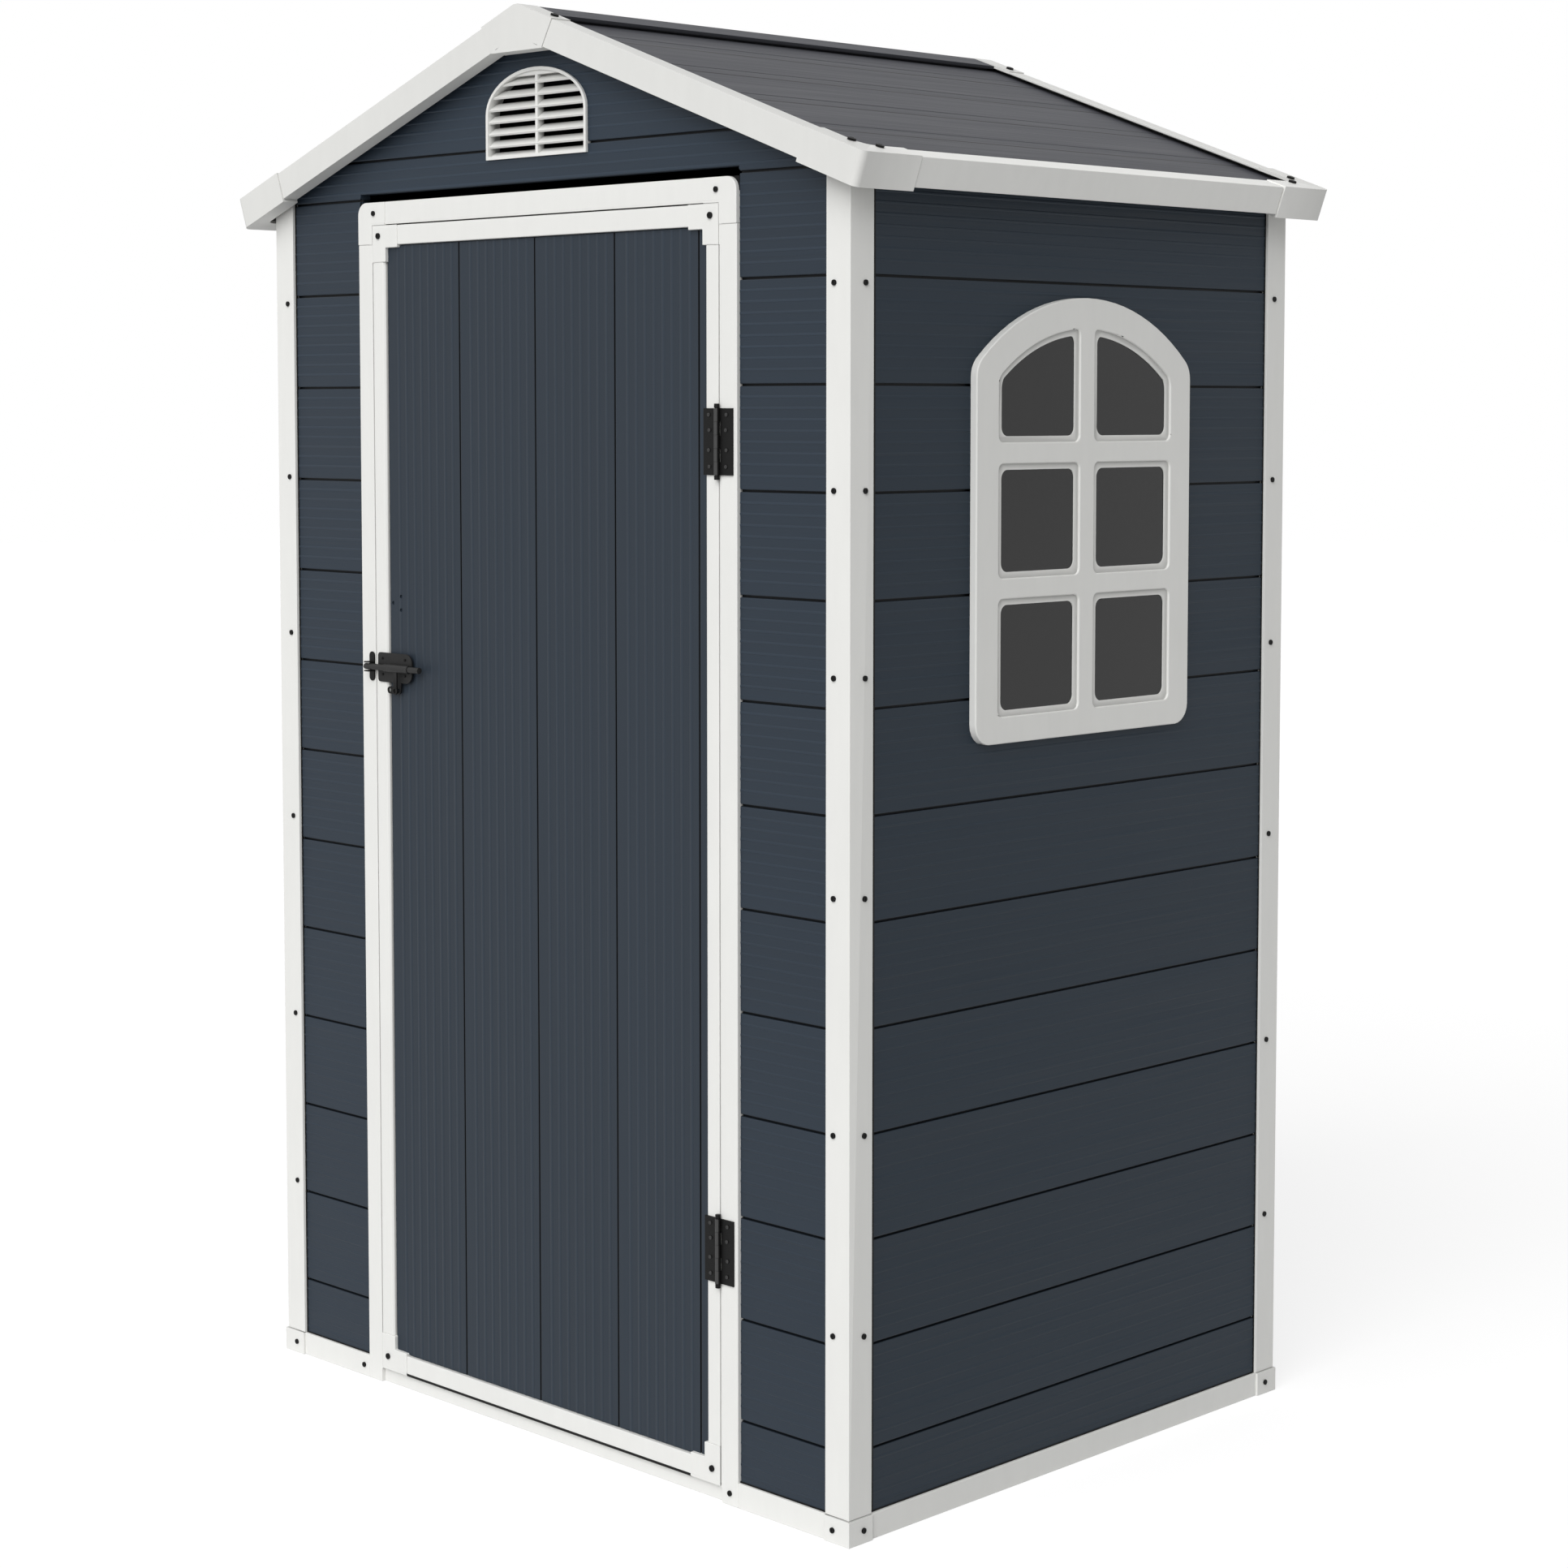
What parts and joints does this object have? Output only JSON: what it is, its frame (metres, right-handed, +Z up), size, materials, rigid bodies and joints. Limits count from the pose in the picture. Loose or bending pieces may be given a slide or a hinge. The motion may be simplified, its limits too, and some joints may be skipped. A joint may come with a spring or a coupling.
{
  "type": "plastic garden shed",
  "caption": "Small ridged garden shed of grooved plastic boards in a pale frame, with a hinged door, barrel bolt, arched side window and gable vents.",
  "frame": {"origin": "on the ground, under the middle of the shed's body", "axes": "+Z up, +X to the right of the front, -Y out of the front; the door is in the front wall and the window in the right wall"},
  "size_m": [1.3058, 0.976, 2.0025],
  "materials": {
    "white_plastic": "satin off-white extruded and moulded plastic",
    "wall_boards": "dark blue-grey plastic boards with fine lengthwise ribs",
    "roof_boards": "mid-grey plastic boards, slightly satin",
    "floor_plastic": "grey moulded plastic",
    "black_metal": "black powder-coated steel",
    "smoked_panes": "smoked dark grey sheet"
  },
  "bodies": {
    "shell": {"corner_feet": "white_plastic", "front_sills": "white_plastic", "threshold": "white_plastic", "left_sill": "white_plastic", "right_sill": "white_plastic", "rear_sill": "white_plastic", "floor_panel": "floor_plastic", "post_front_left": "white_plastic", "post_front_right": "white_plastic", "post_rear_left": "white_plastic", "post_rear_right": "white_plastic", "front_wall_left": "wall_boards", "front_wall_right": "wall_boards", "front_gable": "wall_boards", "left_wall": "wall_boards", "right_wall": "wall_boards", "rear_wall": "wall_boards", "rear_gable": "wall_boards", "window_frame": "white_plastic", "window_glazing": "smoked_panes", "front_vent": "white_plastic", "rear_vent": "white_plastic", "jamb_left": "white_plastic", "jamb_right": "white_plastic", "frame_head": "white_plastic", "frame_corners": "white_plastic", "hinge_frame_leaves": "black_metal", "hinge_pins": "black_metal", "latch_keeper": "black_metal", "roof_panel_left": "roof_boards", "roof_panel_right": "roof_boards", "ridge_cap": "roof_boards", "ridge_end_caps": "white_plastic", "front_rake_trims": "white_plastic", "rear_rake_trims": "white_plastic", "eaves_trims": "white_plastic", "roof_corner_caps": "white_plastic"},
    "door": {"door_panel": "wall_boards", "door_stile_left": "white_plastic", "door_stile_right": "white_plastic", "door_rail_top": "white_plastic", "door_rail_bottom": "white_plastic", "door_corners": "white_plastic", "hinge_door_leaves": "black_metal", "latch_plate": "black_metal"},
    "bolt": {"latch_bolt": "black_metal"}
  },
  "joints": [
    {"name": "door_hinge", "type": "hinge", "parent": "shell", "child": "door", "pos_m": [0.364, -0.4593, 0], "axis": [0, 0, 1], "range_deg": [0, 120]},
    {"name": "bolt_slide", "type": "slide", "parent": "door", "child": "bolt", "axis": [1, 0, 0], "range_m": [0, 0.026]}
  ]
}
